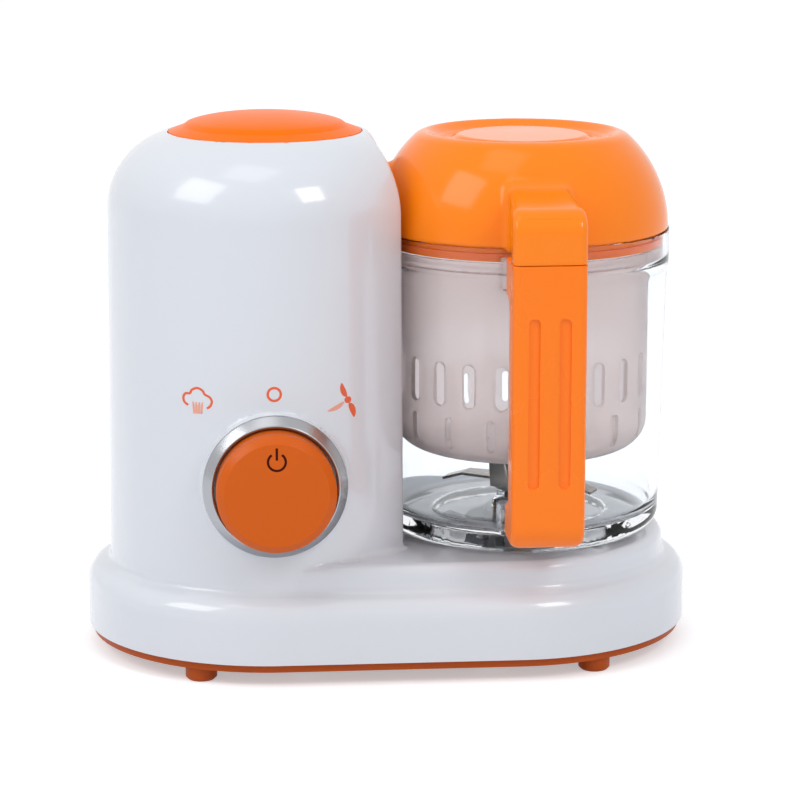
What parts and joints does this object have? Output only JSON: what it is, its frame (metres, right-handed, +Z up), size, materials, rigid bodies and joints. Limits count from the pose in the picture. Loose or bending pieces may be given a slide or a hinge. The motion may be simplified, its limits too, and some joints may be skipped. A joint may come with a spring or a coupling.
{
  "type": "baby food maker",
  "caption": "Countertop baby food steamer and blender: steam tower with rotary knob beside a clear handled jar with basket, blades and domed lid.",
  "frame": {"origin": "on the table, under the middle of the whole machine's outline seen from above, handle included", "axes": "+Z up, -Y towards the user, +X towards the jar"},
  "size_m": [0.267, 0.1854, 0.236],
  "materials": {
    "white_body": "glossy white moulding",
    "orange_body": "glossy orange moulding",
    "orange_base": "satin orange moulding",
    "orange_knob": "satin dark orange moulding",
    "bezel": "brushed plated ring",
    "clear_jar": "clear moulded plastic",
    "frosted": "frosted translucent plastic",
    "steel": "brushed stainless steel",
    "zinc": "zinc plated steel",
    "aluminium": "cast, matt",
    "brass": "sintered bronze",
    "silicone": "translucent white silicone",
    "rubber": "black rubber",
    "black_plastic": "matt black moulding",
    "grey_plastic": "matt grey moulding",
    "tank_plastic": "natural heat resistant moulding",
    "board": "green laminate"
  },
  "bodies": {
    "base": {"housing": "white_body", "tower": "white_body", "recess_panel": "white_body", "bottom_plate": "orange_base", "feet": "orange_base", "base_screws": "zinc", "cord_gland": "grey_plastic", "knob_bezel": "bezel", "rotary_switch": "black_plastic", "switch_screws": "zinc", "water_tank": "tank_plastic", "tank_screws": "zinc", "heating_plate": "aluminium", "thermostat": "brass", "steam_nozzle": "silicone", "circuit_board": "board", "board_parts": "black_plastic", "motor": "zinc", "motor_bracket": "zinc", "motor_screws": "zinc", "drive_belt": "rubber", "drive_bushes": "brass"},
    "knob": {"knob": "orange_knob", "knob_shaft": "zinc"},
    "tank_cap": {"tank_cap": "orange_body", "cap_seal": "silicone"},
    "motor_rotor": {"motor_shaft": "steel", "motor_pulley": "black_plastic"},
    "drive": {"drive_pulley": "black_plastic", "drive_shaft": "steel", "drive_coupler": "grey_plastic"},
    "jar": {"jar": "clear_jar", "jar_handle": "orange_body", "handle_cover": "orange_body", "handle_screws": "zinc", "jar_bush": "brass", "shaft_seal": "rubber"},
    "blades": {"jar_coupler": "grey_plastic", "blade_shaft": "steel", "blade_hub": "grey_plastic", "lower_blade": "steel", "upper_blade": "steel", "hub_cap": "grey_plastic"},
    "basket": {"steam_basket": "frosted"},
    "lid": {"lid": "orange_body", "lid_seal": "silicone", "steam_elbow": "silicone"}
  },
  "joints": [
    {"name": "knob_turn", "type": "hinge", "parent": "base", "child": "knob", "pos_m": [-0.053, -0.07225, 0.086], "axis": [0, 1, 0], "range_deg": [-42, 42]},
    {"name": "tank_cap_lift", "type": "slide", "parent": "base", "child": "tank_cap", "axis": [0, 0, 1], "range_m": [0, 0.04]},
    {"name": "motor_spin", "type": "hinge", "parent": "base", "child": "motor_rotor", "pos_m": [-0.0465, 0.00775, 0.02], "axis": [0, 0, 1], "continuous": true},
    {"name": "drive_spin", "type": "hinge", "parent": "base", "child": "drive", "pos_m": [0.0595, 0.00775, 0.02], "axis": [0, 0, 1], "continuous": true},
    {"name": "jar_lift", "type": "slide", "parent": "base", "child": "jar", "axis": [0, 0, 1], "range_m": [0, 0.19]},
    {"name": "blade_spin", "type": "hinge", "parent": "jar", "child": "blades", "pos_m": [0.0595, 0.00775, 0.06], "axis": [0, 0, 1], "continuous": true},
    {"name": "basket_lift", "type": "slide", "parent": "jar", "child": "basket", "axis": [0, 0, 1], "range_m": [0, 0.1]},
    {"name": "lid_lift", "type": "slide", "parent": "jar", "child": "lid", "axis": [0, 0, 1], "range_m": [0, 0.2]}
  ],
  "couplings": [
    {"joint": "motor_spin", "follows": "drive_spin", "ratio": 3},
    {"joint": "blade_spin", "follows": "drive_spin", "ratio": 1},
    {"joint": "basket_lift", "follows": "lid_lift", "ratio": 0.5}
  ]
}
